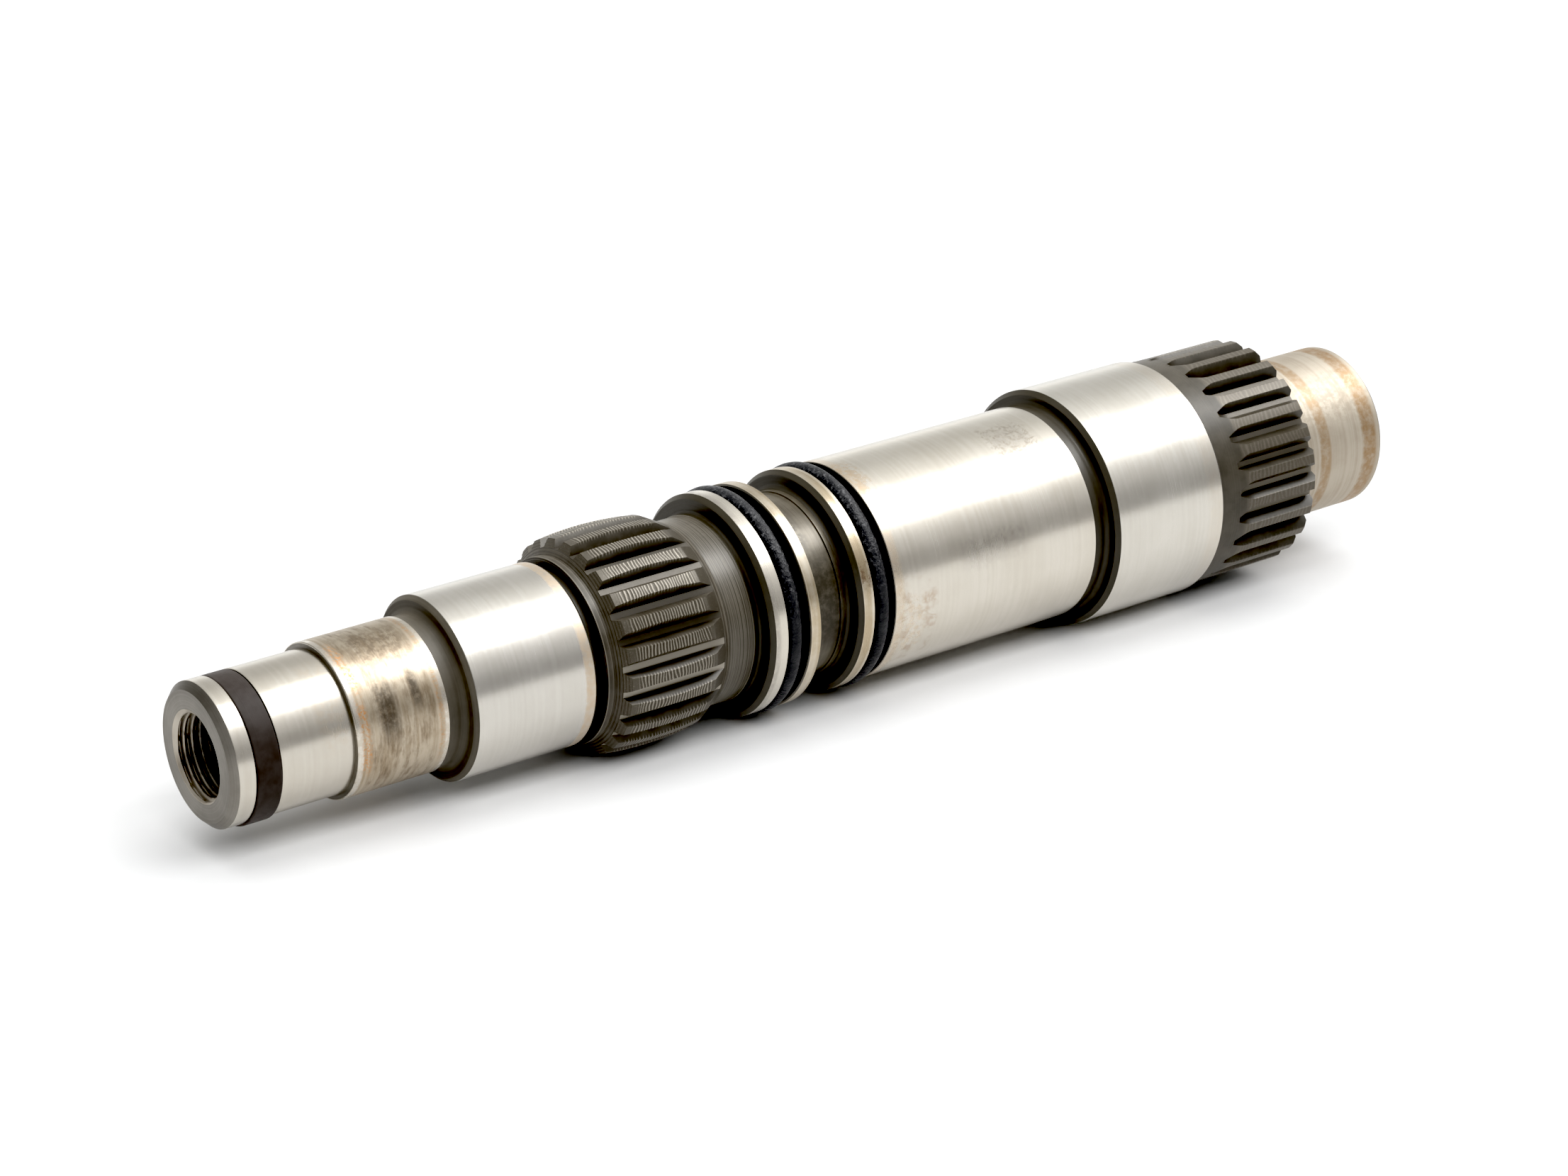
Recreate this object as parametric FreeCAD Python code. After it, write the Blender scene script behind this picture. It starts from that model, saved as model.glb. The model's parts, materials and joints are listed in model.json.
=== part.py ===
import FreeCAD, Part
import os
from math import acos, atan, cos, degrees, pi, radians, sin, tan

# Intermediate shaft: one turned and ground steel bar with two involute splines,
# two rubber sealing rings and one hard nose seal ring in their grooves.
# The bar is drawn along X from its nose, then laid down as it rests on a bench.
# All sizes are millimetres. A name ending in _x is a place along the bar from
# the nose face, a name ending in _r is a radius.

# Nose end, with its tapped hole
nose_r = 12.5
nose_chamfer = 1.25
nose_length = 22.4
tap_core_r = 7.19
tap_mouth_r = 8.0
tap_mouth_depth = 0.65
drill_depth = 33.0
drill_point_angle = 118.0

# Groove of the nose seal ring
nose_groove_x = 4.25
nose_groove_width = 4.7
nose_groove_depth = 2.4

# Second journal and the relief before the third
second_r = 13.5
second_length = 17.4
first_relief_depth = 0.25
first_relief_width = 3.3
first_relief_fillet = 1.9
shoulder_chamfer = 0.8

# Third journal and the narrow undercut behind it
third_r = 16.25
third_length = 22.85
third_end_chamfer = 0.7
undercut_width = 1.6
undercut_depth = 1.5

# Both splines: 30 degree involute flanks on one module
spline_module = 1.5875
pressure_angle = 30.0

# Front spline, crowned along its length
front_teeth = 24
front_collar_r = 16.6
front_collar_length = 1.6
front_rise_length = 1.5
front_tooth_length = 17.3
front_fall_length = 4.4
front_addendum = 0.7
front_dedendum = 1.3
front_crowning = 0.55
front_space_share = 0.5
front_turn = 9.26

# First neck, up to the seal carrier
first_neck_r = 16.8
first_neck_length = 5.4
neck_fillet = 1.2

# Seal carrier: lands A and B, a neck, land C
land_r = 20.25
carrier_chamfer = 0.85
land_a_length = 2.55
ring_groove_width = 4.75
ring_groove_edge = 0.35
land_b_length = 2.25
second_neck_r = 16.65
second_neck_length = 6.7
neck_step = 0.3
neck_step_length = 1.0
second_neck_fillet = 0.85
land_c_length = 2.25

# Rubber sealing rings, with a crown on a straight body
rubber_width = 3.1
rubber_proud = 0.4
rubber_height = 3.5
rubber_crown_height = 1.3
front_rubber_gap = 0.25
rear_rubber_gap = 0.45

# Hard seal ring, which hangs in the nose groove by its play
hard_ring_side_play = 0.05
hard_ring_proud = 0.2
hard_ring_play = 0.25

# Long journal, relief and large journal
long_r = 20.0
long_length = 45.8
large_relief_depth = 0.4
large_relief_width = 3.2
large_relief_fillet = 1.5
large_r = 22.4
large_edge = 0.85
large_length = 25.5
large_end_chamfer = 0.75

# Rear spline
rear_teeth = 26
rear_addendum = 1.01
rear_dedendum = 1.09
rear_collar_length = 4.3
rear_run_out_r = 5.0
rear_tooth_length = 19.7
rear_end_chamfer = 0.95
rear_space_share = 0.43
rear_turn = 1.9

# End journal with a lathe centre
end_r = 15.5
end_length = 22.7
end_chamfer = 0.8
end_fillet = 1.0
centre_mouth_r = 3.2
centre_pilot_r = 1.6
centre_pilot_depth = 5.5
centre_angle = 60.0

# How far a cutter reaches past the skin it cuts
cutter_reach = 0.6

# Radii of the splines that follow from module, teeth and tooth heights
front_pitch_r = spline_module * front_teeth / 2
front_crown_r = front_pitch_r + front_addendum
front_end_r = front_crown_r - front_crowning
front_root_r = front_pitch_r - front_dedendum
rear_pitch_r = spline_module * rear_teeth / 2
rear_tip_r = rear_pitch_r + rear_addendum
rear_root_r = rear_pitch_r - rear_dedendum

# Places along the bar that follow from the lengths above
second_x = nose_length
first_relief_x = second_x + second_length
third_face_x = first_relief_x + first_relief_width
third_end_x = third_face_x + shoulder_chamfer + third_length
undercut_x = third_end_x + third_end_chamfer
collar_x = undercut_x + undercut_width
rise_x = collar_x + front_collar_length
teeth_x = rise_x + front_rise_length
teeth_end_x = teeth_x + front_tooth_length
first_neck_x = teeth_end_x + front_fall_length
first_neck_end_x = first_neck_x + first_neck_length
carrier_x = first_neck_end_x + neck_fillet
land_a_x = carrier_x + carrier_chamfer
front_groove_x = land_a_x + land_a_length
land_b_x = front_groove_x + ring_groove_width
second_neck_x = land_b_x + land_b_length
step_x = second_neck_x + second_neck_length
step_end_x = step_x + neck_step_length
rear_carrier_x = step_end_x + second_neck_fillet
land_c_x = rear_carrier_x + carrier_chamfer
rear_groove_x = land_c_x + land_c_length
long_x = rear_groove_x + ring_groove_width
long_end_x = long_x + long_length
large_face_x = long_end_x + large_relief_width
large_x = large_face_x + large_edge
large_end_x = large_x + large_length - large_edge
rear_collar_x = large_end_x + large_end_chamfer
rear_teeth_x = rear_collar_x + rear_collar_length
rear_end_x = rear_teeth_x + rear_tooth_length
bar_end_x = rear_end_x + end_length

# How the bar lies: on the crown of the front rubber ring and on the front edge
# of the large journal, the two circles that a straight edge under it touches
front_rubber_x = front_groove_x + front_rubber_gap + rubber_width / 2
rubber_crown_r = land_r + rubber_proud
lie_angle = degrees(atan((large_r - rubber_crown_r) / (large_x - front_rubber_x)))

bar_axis = FreeCAD.Vector(1, 0, 0)
bar_start = FreeCAD.Vector(0, 0, 0)


def at(x, r, turn=0.0):
    """Point at a place along the bar and a radius, turned round the bar from straight up."""
    return FreeCAD.Vector(x, -r * sin(radians(turn)), r * cos(radians(turn)))


class Outline:
    """Half section of a turned piece, drawn from point to point."""

    def __init__(self, x, r):
        self.start = at(x, r)
        self.here = self.start
        self.edges = []

    def line(self, x, r):
        end = at(x, r)
        self.edges.append(Part.LineSegment(self.here, end).toShape())
        self.here = end

    def arc(self, middle, end):
        self.edges.append(Part.Arc(self.here, at(*middle), at(*end)).toShape())
        self.here = at(*end)

    def hollow_up(self, size):
        """Hollow corner from a cylinder up to a face: two cuts along a quarter round."""
        x = self.here.x
        r = self.here.z
        self.line(x + size * sin(pi / 4), r + size * (1 - cos(pi / 4)))
        self.line(x + size, r + size)

    def hollow_down(self, size):
        """Hollow corner from a face down to a cylinder: two cuts along a quarter round."""
        x = self.here.x
        r = self.here.z
        self.line(x + size * (1 - cos(pi / 4)), r - size * sin(pi / 4))
        self.line(x + size, r - size)

    def turned(self):
        """Close the section and turn it round the bar."""
        self.edges.append(Part.LineSegment(self.here, self.start).toShape())
        section = Part.Face(Part.Wire(self.edges))
        return section.revolve(bar_start, bar_axis, 360)


def square_groove(x, width, outer_r, floor_r):
    """Ring of material that a square groove takes away."""
    outline = Outline(x, floor_r)
    outline.line(x, outer_r)
    outline.line(x + width, outer_r)
    outline.line(x + width, floor_r)
    return outline.turned()


def turn_front_half(outline):
    """Nose, second and third journal, undercut, crowned spline blank and first neck."""
    outline.line(0, nose_r - nose_chamfer)
    outline.line(nose_chamfer, nose_r)
    outline.line(second_x, nose_r)
    outline.line(second_x, second_r)
    outline.line(first_relief_x, second_r)
    outline.line(first_relief_x, second_r - first_relief_depth)
    outline.line(third_face_x - first_relief_fillet, second_r - first_relief_depth)
    outline.hollow_up(first_relief_fillet)
    outline.line(third_face_x, third_r - shoulder_chamfer)
    outline.line(third_face_x + shoulder_chamfer, third_r)
    outline.line(third_end_x, third_r)
    outline.line(undercut_x, third_r - third_end_chamfer)
    outline.line(undercut_x, third_r - undercut_depth)
    outline.line(collar_x, third_r - undercut_depth)
    outline.line(collar_x, front_collar_r)
    outline.line(rise_x, front_collar_r)
    outline.line(teeth_x, front_end_r)
    outline.arc(((teeth_x + teeth_end_x) / 2, front_crown_r), (teeth_end_x, front_end_r))
    outline.line(first_neck_x, first_neck_r)
    outline.line(first_neck_end_x, first_neck_r)
    outline.hollow_up(neck_fillet)


def turn_seal_carrier(outline):
    """The two flanges with lands A, B and C and the stepped neck between them."""
    outline.line(carrier_x, land_r - carrier_chamfer)
    outline.line(land_a_x, land_r)
    outline.line(second_neck_x, land_r)
    outline.line(second_neck_x, second_neck_r)
    outline.line(step_x, second_neck_r)
    outline.line(step_x, second_neck_r + neck_step)
    outline.line(step_end_x, second_neck_r + neck_step)
    outline.hollow_up(second_neck_fillet)
    outline.line(rear_carrier_x, land_r - carrier_chamfer)
    outline.line(land_c_x, land_r)


def turn_rear_half(outline):
    """Long journal, relief, large journal, rear spline blank and end journal."""
    outline.line(long_x, land_r)
    outline.line(long_x, long_r)
    outline.line(long_end_x, long_r)
    outline.line(long_end_x, long_r - large_relief_depth)
    outline.line(large_face_x - large_relief_fillet, long_r - large_relief_depth)
    outline.hollow_up(large_relief_fillet)
    outline.line(large_face_x, large_r - large_edge)
    outline.line(large_x, large_r)
    outline.line(large_end_x, large_r)
    outline.line(rear_collar_x, rear_tip_r)
    outline.line(rear_end_x - rear_end_chamfer, rear_tip_r)
    outline.line(rear_end_x, rear_tip_r - rear_end_chamfer)
    outline.line(rear_end_x, end_r + end_fillet)
    outline.hollow_down(end_fillet)
    outline.line(bar_end_x - end_chamfer, end_r)
    outline.line(bar_end_x, end_r - end_chamfer)
    outline.line(bar_end_x, 0)


def turned_bar():
    """The whole bar before its grooves and teeth are cut."""
    outline = Outline(0, 0)
    turn_front_half(outline)
    turn_seal_carrier(outline)
    turn_rear_half(outline)
    return outline.turned()


def tapped_hole():
    """Core of the tapped hole in the nose, with its countersunk mouth and drill point."""
    point = tap_core_r / tan(radians(drill_point_angle / 2))
    outline = Outline(0, 0)
    outline.line(0, tap_mouth_r)
    outline.line(tap_mouth_depth, tap_core_r)
    outline.line(drill_depth, tap_core_r)
    outline.line(drill_depth + point, 0)
    return outline.turned()


def lathe_centre():
    """Centre hole in the end journal, which the bar was turned and ground on."""
    cone = (centre_mouth_r - centre_pilot_r) / tan(radians(centre_angle / 2))
    point = centre_pilot_r / tan(radians(drill_point_angle / 2))
    outline = Outline(bar_end_x, 0)
    outline.line(bar_end_x, centre_mouth_r)
    outline.line(bar_end_x - cone, centre_pilot_r)
    outline.line(bar_end_x - centre_pilot_depth, centre_pilot_r)
    outline.line(bar_end_x - centre_pilot_depth - point, 0)
    return outline.turned()


def rubber_groove(x):
    """Groove of a rubber ring, with its broken rear edge."""
    floor_r = rubber_crown_r - rubber_height
    groove = square_groove(x, ring_groove_width, land_r + cutter_reach, floor_r)
    far = x + ring_groove_width
    edge = Outline(far - ring_groove_edge, land_r - ring_groove_edge)
    edge.line(far - ring_groove_edge, land_r + ring_groove_edge)
    edge.line(far + ring_groove_edge, land_r + ring_groove_edge)
    edge.line(far, land_r - ring_groove_edge)
    return groove.fuse(edge.turned())


def involute(angle):
    """Involute function of a pressure angle given in radians."""
    return tan(angle) - angle


def space_half_angle(teeth, share, r):
    """Half the angle of a tooth space at a radius, for involute flanks."""
    pitch_r = spline_module * teeth / 2
    base_r = pitch_r * cos(radians(pressure_angle))
    at_pitch = involute(radians(pressure_angle))
    here = involute(acos(min(1.0, base_r / r)))
    return degrees(pi / teeth * share + here - at_pitch)


def space_section(teeth, share, x, root_r, top_r):
    """Section of one tooth space: a flat floor and two involute flanks."""
    steps = 3
    radii = [root_r + (top_r - root_r) * i / steps for i in range(steps + 1)]
    left = [at(x, r, space_half_angle(teeth, share, r)) for r in radii]
    right = [at(x, r, -space_half_angle(teeth, share, r)) for r in radii]
    flanks = []
    for points in (left, right):
        curve = Part.BSplineCurve()
        curve.interpolate(points)
        flanks.append(curve.toShape())
    floor = Part.LineSegment(left[0], right[0]).toShape()
    top = Part.LineSegment(left[-1], right[-1]).toShape()
    return Part.Face(Part.Wire([floor, flanks[1], top, flanks[0]]))


def round_the_bar(piece, teeth, turn):
    """Copies of one piece at every tooth space."""
    copies = []
    for i in range(teeth):
        copy = piece.copy()
        copy.rotate(bar_start, bar_axis, turn + 360.0 * i / teeth)
        copies.append(copy)
    return copies


def front_spaces():
    """Tooth spaces of the front spline: they run out on the cones at both ends."""
    top_r = front_crown_r + cutter_reach
    section = space_section(front_teeth, front_space_share, rise_x, front_root_r, top_r)
    cutter = section.extrude(bar_axis * (first_neck_x - rise_x))
    return round_the_bar(cutter, front_teeth, front_turn)


def rear_spaces():
    """Tooth spaces of the rear spline: each rises to the collar in a curved run-out."""
    top_r = rear_tip_r + cutter_reach
    depth = rear_tip_r - rear_root_r
    full_x = rear_teeth_x + rear_run_out_r * sin(acos(1 - depth / rear_run_out_r))
    section = space_section(rear_teeth, rear_space_share, full_x, rear_root_r, top_r)
    cutter = section.extrude(bar_axis * (rear_end_x + cutter_reach - full_x))
    pivot = at(full_x, rear_root_r + rear_run_out_r)
    run_out = section.revolve(pivot, FreeCAD.Vector(0, 1, 0), 90)
    return round_the_bar(cutter.fuse(run_out), rear_teeth, rear_turn)


def make_shaft():
    """The steel bar, finished."""
    floor_r = nose_r - nose_groove_depth
    bar = turned_bar()
    bar = bar.cut([
        square_groove(nose_groove_x, nose_groove_width, nose_r + cutter_reach, floor_r),
        rubber_groove(front_groove_x),
        rubber_groove(rear_groove_x),
        tapped_hole(),
        lathe_centre(),
    ])
    bar = bar.cut(front_spaces())
    bar = bar.cut(rear_spaces())
    return bar.Solids[0]


def make_rubber_ring(groove_x, gap):
    """Sealing ring with its foot flat on the groove floor and four cuts along a round crown."""
    foot_r = rubber_crown_r - rubber_height
    side_r = rubber_crown_r - rubber_crown_height
    half = rubber_width / 2
    middle = groove_x + gap + half
    swing = atan(rubber_crown_height / half)
    round_r = half / sin(2 * swing)
    shoulder = round_r * sin(swing)
    shoulder_r = rubber_crown_r - round_r * (1 - cos(swing))
    outline = Outline(middle - half, foot_r)
    outline.line(middle - half, side_r)
    outline.line(middle - shoulder, shoulder_r)
    outline.line(middle, rubber_crown_r)
    outline.line(middle + shoulder, shoulder_r)
    outline.line(middle + half, side_r)
    outline.line(middle + half, foot_r)
    return outline.turned()


def make_nose_ring():
    """Hard seal ring, which hangs on the floor of its groove by its play."""
    start = nose_groove_x + hard_ring_side_play
    end = nose_groove_x + nose_groove_width - hard_ring_side_play
    outer = nose_r + hard_ring_proud
    inner = nose_r - nose_groove_depth + hard_ring_play
    outline = Outline(start, inner)
    outline.line(start, outer)
    outline.line(end, outer)
    outline.line(end, inner)
    ring = outline.turned()
    ring.translate(FreeCAD.Vector(0, 0, -hard_ring_play))
    return ring


def lay_down(pieces):
    """Tip the bar to the line it rests on and put the origin under its middle."""
    for piece in pieces:
        piece.rotate(bar_start, FreeCAD.Vector(0, 1, 0), -lie_angle)
    tilt = radians(lie_angle)
    drop = large_r * cos(tilt) - large_x * sin(tilt)
    box = pieces[0].optimalBoundingBox(False)
    for piece in pieces:
        piece.translate(FreeCAD.Vector(-box.Center.x, 0, drop))
    return pieces


names = ["shaft", "nose_seal_ring", "front_rubber_ring", "rear_rubber_ring"]
made = [
    make_shaft(),
    make_nose_ring(),
    make_rubber_ring(front_groove_x, front_rubber_gap),
    make_rubber_ring(rear_groove_x, rear_rubber_gap),
]
made = lay_down(made)

os.makedirs("parts", exist_ok=True)
for name, solid in zip(names, made):
    solid.exportStep("parts/" + name + ".step")
    box = solid.optimalBoundingBox(False)
    print(name, "valid", solid.isValid(), "volume", round(solid.Volume, 1))
    print("  from", round(box.XMin, 3), round(box.YMin, 3), round(box.ZMin, 3))
    print("  to", round(box.XMax, 3), round(box.YMax, 3), round(box.ZMax, 3))
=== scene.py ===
import json
import math
import bpy
from mathutils import Matrix, Vector


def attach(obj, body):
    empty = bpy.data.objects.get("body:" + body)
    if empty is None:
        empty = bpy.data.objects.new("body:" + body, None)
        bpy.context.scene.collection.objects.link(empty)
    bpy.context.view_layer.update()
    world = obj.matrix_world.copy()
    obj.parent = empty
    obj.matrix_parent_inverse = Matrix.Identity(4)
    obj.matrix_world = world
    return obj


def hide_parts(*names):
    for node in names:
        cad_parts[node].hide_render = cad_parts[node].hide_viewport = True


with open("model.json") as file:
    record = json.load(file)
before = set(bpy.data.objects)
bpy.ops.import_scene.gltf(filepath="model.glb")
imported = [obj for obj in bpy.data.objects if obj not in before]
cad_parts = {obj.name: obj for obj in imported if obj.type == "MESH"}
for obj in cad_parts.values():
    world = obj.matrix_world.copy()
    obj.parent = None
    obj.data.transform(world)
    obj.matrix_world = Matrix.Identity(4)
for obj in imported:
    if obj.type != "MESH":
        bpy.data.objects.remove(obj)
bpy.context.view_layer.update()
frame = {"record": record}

# The bar is drawn in millimetres from its nose face along x, then laid where the frame has it.
# A turn is counted round the bar from straight up, towards the camera's side.
millimetre = 0.001
endMountX = 237.95  # where the end journal's mount is along the bar
endMount = [m for m in frame["record"]["mounts"] if m["name"] == "end_journal"][0]
barAxis = Vector(endMount["axis"]).normalized()
noseFace = Vector(endMount["pos_m"]) - barAxis * (endMountX * millimetre)
barTilt = -math.asin(barAxis.z)
barTurned = Matrix.Rotation(barTilt, 4, "Y")
barPlace = Matrix.Translation(noseFace) @ barTurned @ Matrix.Scale(millimetre, 4)
print("frame loaded, bar tilted", round(math.degrees(barTilt), 3))


def barPoint(x, r, turn):
    return (x, -r * math.sin(turn), r * math.cos(turn))


# nodes

def setInputs(tree, made, inputs):
    # a socket is linked, anything else is set on the input itself
    for key, value in inputs.items():
        if isinstance(value, bpy.types.NodeSocket):
            tree.links.new(value, made.inputs[key])
        else:
            made.inputs[key].default_value = value


def node(tree, kind, inputs=None, **settings):
    made = tree.nodes.new(kind)
    for key, value in settings.items():
        setattr(made, key, value)
    setInputs(tree, made, inputs or {})
    return made


def maths(tree, operation, *values):
    return node(tree, "ShaderNodeMath", dict(enumerate(values)), operation=operation).outputs[0]


def times(tree, first, *others):
    for value in others:
        first = maths(tree, "MULTIPLY", first, value)
    return first


def plus(tree, first, *others):
    for value in others:
        first = maths(tree, "ADD", first, value)
    return first


def swing(tree, pattern, amount):
    # a pattern's swing to both sides of its middle
    return times(tree, maths(tree, "SUBTRACT", pattern, 0.5), amount)


def blendColour(tree, factor, first, second):
    return node(tree, "ShaderNodeMix", {0: factor, 6: first, 7: second}, data_type="RGBA").outputs[2]


def blendValue(tree, factor, first, second):
    return node(tree, "ShaderNodeMix", {0: factor, 2: first, 3: second}, data_type="FLOAT").outputs[0]


def mapRange(tree, value, fromMin, fromMax, toMin=0.0, toMax=1.0, kind="SMOOTHSTEP"):
    return node(tree, "ShaderNodeMapRange", {0: value, 1: fromMin, 2: fromMax, 3: toMin, 4: toMax},
                interpolation_type=kind).outputs[0]


def noise(tree, vector, scale, detail, roughness):
    return node(tree, "ShaderNodeTexNoise", {"Vector": vector, "Scale": scale, "Detail": detail,
                "Roughness": roughness}).outputs[0]


def scaled(tree, vector, scales):
    return node(tree, "ShaderNodeVectorMath", {0: vector, 1: scales}, operation="MULTIPLY").outputs[0]


def rgb(red, green, blue):
    return (red, green, blue, 1.0)


def startGroup(name, treeKind, inputs, outputs):
    # a node group with its sockets, by name and kind
    tree = bpy.data.node_groups.new(name, treeKind)
    for way, sockets in (("INPUT", inputs), ("OUTPUT", outputs)):
        for socket, kind in sockets.items():
            tree.interface.new_socket(socket, in_out=way, socket_type="NodeSocket" + kind)
    return tree


def makeBarGroup():
    # where a point of the surface is on the bar: Along and Radius in mm, Turn in degrees
    tree = startGroup("barPlace", "ShaderNodeTree", {},
                      {"Along": "Float", "Turn": "Float", "Radius": "Float", "Point": "Vector"})
    place = node(tree, "ShaderNodeTexCoord").outputs["Object"]
    point = node(tree, "ShaderNodeMapping", {"Vector": place, "Location": noseFace,
                 "Rotation": (0.0, barTilt, 0.0), "Scale": (millimetre,) * 3},
                 vector_type="TEXTURE").outputs[0]
    parts = node(tree, "ShaderNodeSeparateXYZ", {0: point}).outputs
    turn = maths(tree, "DEGREES", maths(tree, "ARCTAN2", times(tree, parts[1], -1.0), parts[2]))
    squares = plus(tree, times(tree, parts[1], parts[1]), times(tree, parts[2], parts[2]))
    node(tree, "NodeGroupOutput", {"Along": parts[0], "Turn": turn,
         "Radius": maths(tree, "SQRT", squares), "Point": point})
    return tree


stainEdges = {
    "raggedTurn": 12.0,  # degrees that an edge wanders for each mm it wanders along the bar
    "mostRagged": 1.6, "ringRagged": 0.2, "patchRagged": 0.5,  # mm at most, and shares of its length
    "wholeRing": 300,  # degrees past which a stain counts as a full ring
    # the part of a pattern that is stained, from nothing to all of it
    "rust": (0.46, 0.60), "film": (0.32, 0.62, 0.45, 1.0), "spots": (0.42, 0.58),
}


def makePatchGroup():
    # mask of one stain between two places along the bar and two turns, with ragged edges
    names = ("Along", "Turn", "Noise", "Start", "End", "From", "To", "Soft", "Soft Turn", "Ragged")
    tree = startGroup("stainPatch", "ShaderNodeTree", dict.fromkeys(names, "Float"), {"Mask": "Float"})
    given = node(tree, "NodeGroupInput").outputs
    shift = swing(tree, given["Noise"], given["Ragged"])
    along = plus(tree, given["Along"], shift)
    turn = plus(tree, given["Turn"], times(tree, shift, stainEdges["raggedTurn"]))
    sides = []
    for place, start, end, soft in ((along, "Start", "End", "Soft"), (turn, "From", "To", "Soft Turn")):
        for edge, before, after in ((given[start], 0.0, 1.0), (given[end], 1.0, 0.0)):
            low = maths(tree, "SUBTRACT", edge, given[soft])
            high = maths(tree, "ADD", edge, given[soft])
            sides.append(mapRange(tree, place, low, high, before, after))
    node(tree, "NodeGroupOutput", {"Mask": times(tree, *sides)})
    return tree


barGroup = makeBarGroup()
patchGroup = makePatchGroup()
madePieces = []


def startMaterial(name):
    material = bpy.data.materials.new(name)
    material.use_nodes = True
    tree = material.node_tree
    shader = tree.nodes["Principled BSDF"]
    place = node(tree, "ShaderNodeGroup", node_tree=barGroup).outputs
    return material, tree, shader, place


def finishShader(tree, shader, height, reach, inputs):
    # reach is how many metres the bump stands out where its height is one
    bump = node(tree, "ShaderNodeBump", {"Height": height, "Strength": 1.0, "Distance": reach})
    setInputs(tree, shader, {**inputs, "Normal": bump.outputs[0]})


# ground and turned steel: a pattern is given by cells to the mm, detail and roughness
steelPatterns = {
    "blotch": (0.12, 4.0, 0.6), "grain": (1.4, 3.0, 0.6), "ragged": (0.8, 5.0, 0.68),
    "rust": (2.3, 5.0, 0.8), "cloud": (0.28, 4.0, 0.6),
    "lineDetail": (3.0, 0.65), "bands": 0.16,  # bands have this share of the fine lines' cells
    "tone": (0.36, 0.64), "grainMetal": 0.04, "bumpReach": 0.00001,
}
wornStreaks = {
    "cells": (1.1, 0.22, 0.22), "pattern": (1.0, 5.0, 0.7), "share": 0.65, "shown": (0.42, 0.68),
    "before": 0.4, "after": 0.6, "rough": 0.08,
}
driedDrops = {
    "soft": 1.0, "softTurn": 6.0, "ragged": 2.5, "detail": 5.0, "roughness": 0.62, "curl": 1.2,
    "patches": (1.7, 2.0, 0.5), "shown": (0.38, 0.6),
}


def patchMask(tree, place, ragged, span, turns, soft, softTurn, wander):
    return node(tree, "ShaderNodeGroup", {
        "Along": place["Along"], "Turn": place["Turn"], "Noise": ragged, "Start": span[0], "End": span[1],
        "From": turns[0], "To": turns[1], "Soft": soft, "Soft Turn": softTurn, "Ragged": wander},
        node_tree=patchGroup).outputs[0]


def addStains(tree, place, ragged, colour, rough, metal, stains):
    # a stain: start, end along; from, to turn; softness along and round; colour; strength; roughness; metal
    for start, end, low, high, soft, softTurn, tint, strength, stainRough, stainMetal in stains:
        ring = high - low > stainEdges["wholeRing"]
        share = stainEdges["ringRagged"] if ring else stainEdges["patchRagged"]
        wander = min(stainEdges["mostRagged"], (end - start) * share)
        mask = patchMask(tree, place, ragged, (start, end), (low, high), soft, softTurn, wander)
        if tint == rust:
            specks = noise(tree, place["Point"], *steelPatterns["rust"])
            broken = mapRange(tree, specks, *stainEdges["rust"])
        elif ring or tint in (soot, paintedNeckShade, smoke):
            broken = mapRange(tree, ragged, *stainEdges["film"])
        else:
            broken = mapRange(tree, ragged, *stainEdges["spots"])
        mask = times(tree, mask, broken, strength)
        colour = blendColour(tree, mask, colour, tint)
        rough = blendValue(tree, mask, rough, stainRough)
        metal = blendValue(tree, mask, metal, stainMetal)
    return colour, rough, metal


def addStreaks(tree, place, colour, rough, streaks):
    # a bearing's wear between two places along the bar, in streaks round it
    tint, start, end, strength = streaks
    before, after = wornStreaks["before"], wornStreaks["after"]
    drawn = scaled(tree, place["Point"], wornStreaks["cells"])
    fine = times(tree, noise(tree, drawn, *wornStreaks["pattern"]), wornStreaks["share"])
    cloud = times(tree, noise(tree, place["Point"], *steelPatterns["cloud"]), 1 - wornStreaks["share"])
    inside = times(tree, mapRange(tree, place["Along"], start - before, start + after),
                   mapRange(tree, place["Along"], end - after, end + before, 1.0, 0.0))
    shown = mapRange(tree, plus(tree, fine, cloud), *wornStreaks["shown"])
    share = times(tree, shown, inside, strength)
    return (blendColour(tree, share, colour, tint),
            plus(tree, rough, times(tree, share, wornStreaks["rough"])))


def addMarks(tree, place, ragged, colour, marks):
    # rims and specks left by drops that dried: start, end along; from, to turn; colour; strength;
    # cells to the mm; width of a rim; how many of those cells there are along the bar
    for start, end, low, high, tint, strength, cells, width, alongShare in marks:
        mask = patchMask(tree, place, ragged, (start, end), (low, high),
                         driedDrops["soft"], driedDrops["softTurn"], driedDrops["ragged"])
        swirl = node(tree, "ShaderNodeTexNoise", {
            "Vector": scaled(tree, place["Point"], (alongShare, 1.0, 1.0)), "Scale": cells,
            "Detail": driedDrops["detail"], "Roughness": driedDrops["roughness"],
            "Distortion": driedDrops["curl"]}).outputs[0]
        offMiddle = maths(tree, "ABSOLUTE", maths(tree, "SUBTRACT", swirl, 0.5))
        rim = mapRange(tree, offMiddle, 0.0, width, 1.0, 0.0)
        finer, detail, roughness = driedDrops["patches"]
        patches = noise(tree, place["Point"], cells * finer, detail, roughness)
        patchy = mapRange(tree, patches, *driedDrops["shown"])
        colour = blendColour(tree, times(tree, rim, patchy, times(tree, mask, strength)), colour, tint)
    return colour


def ringLines(tree, place, density):
    # fine lines round the bar and round its faces, left by the tool or the wheel
    along = times(tree, plus(tree, place["Along"], place["Radius"]), density)
    detail, roughness = steelPatterns["lineDetail"]
    return node(tree, "ShaderNodeTexNoise", {
        "W": along, "Scale": 1.0, "Detail": detail, "Roughness": roughness},
        noise_dimensions="1D").outputs[0]


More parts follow.
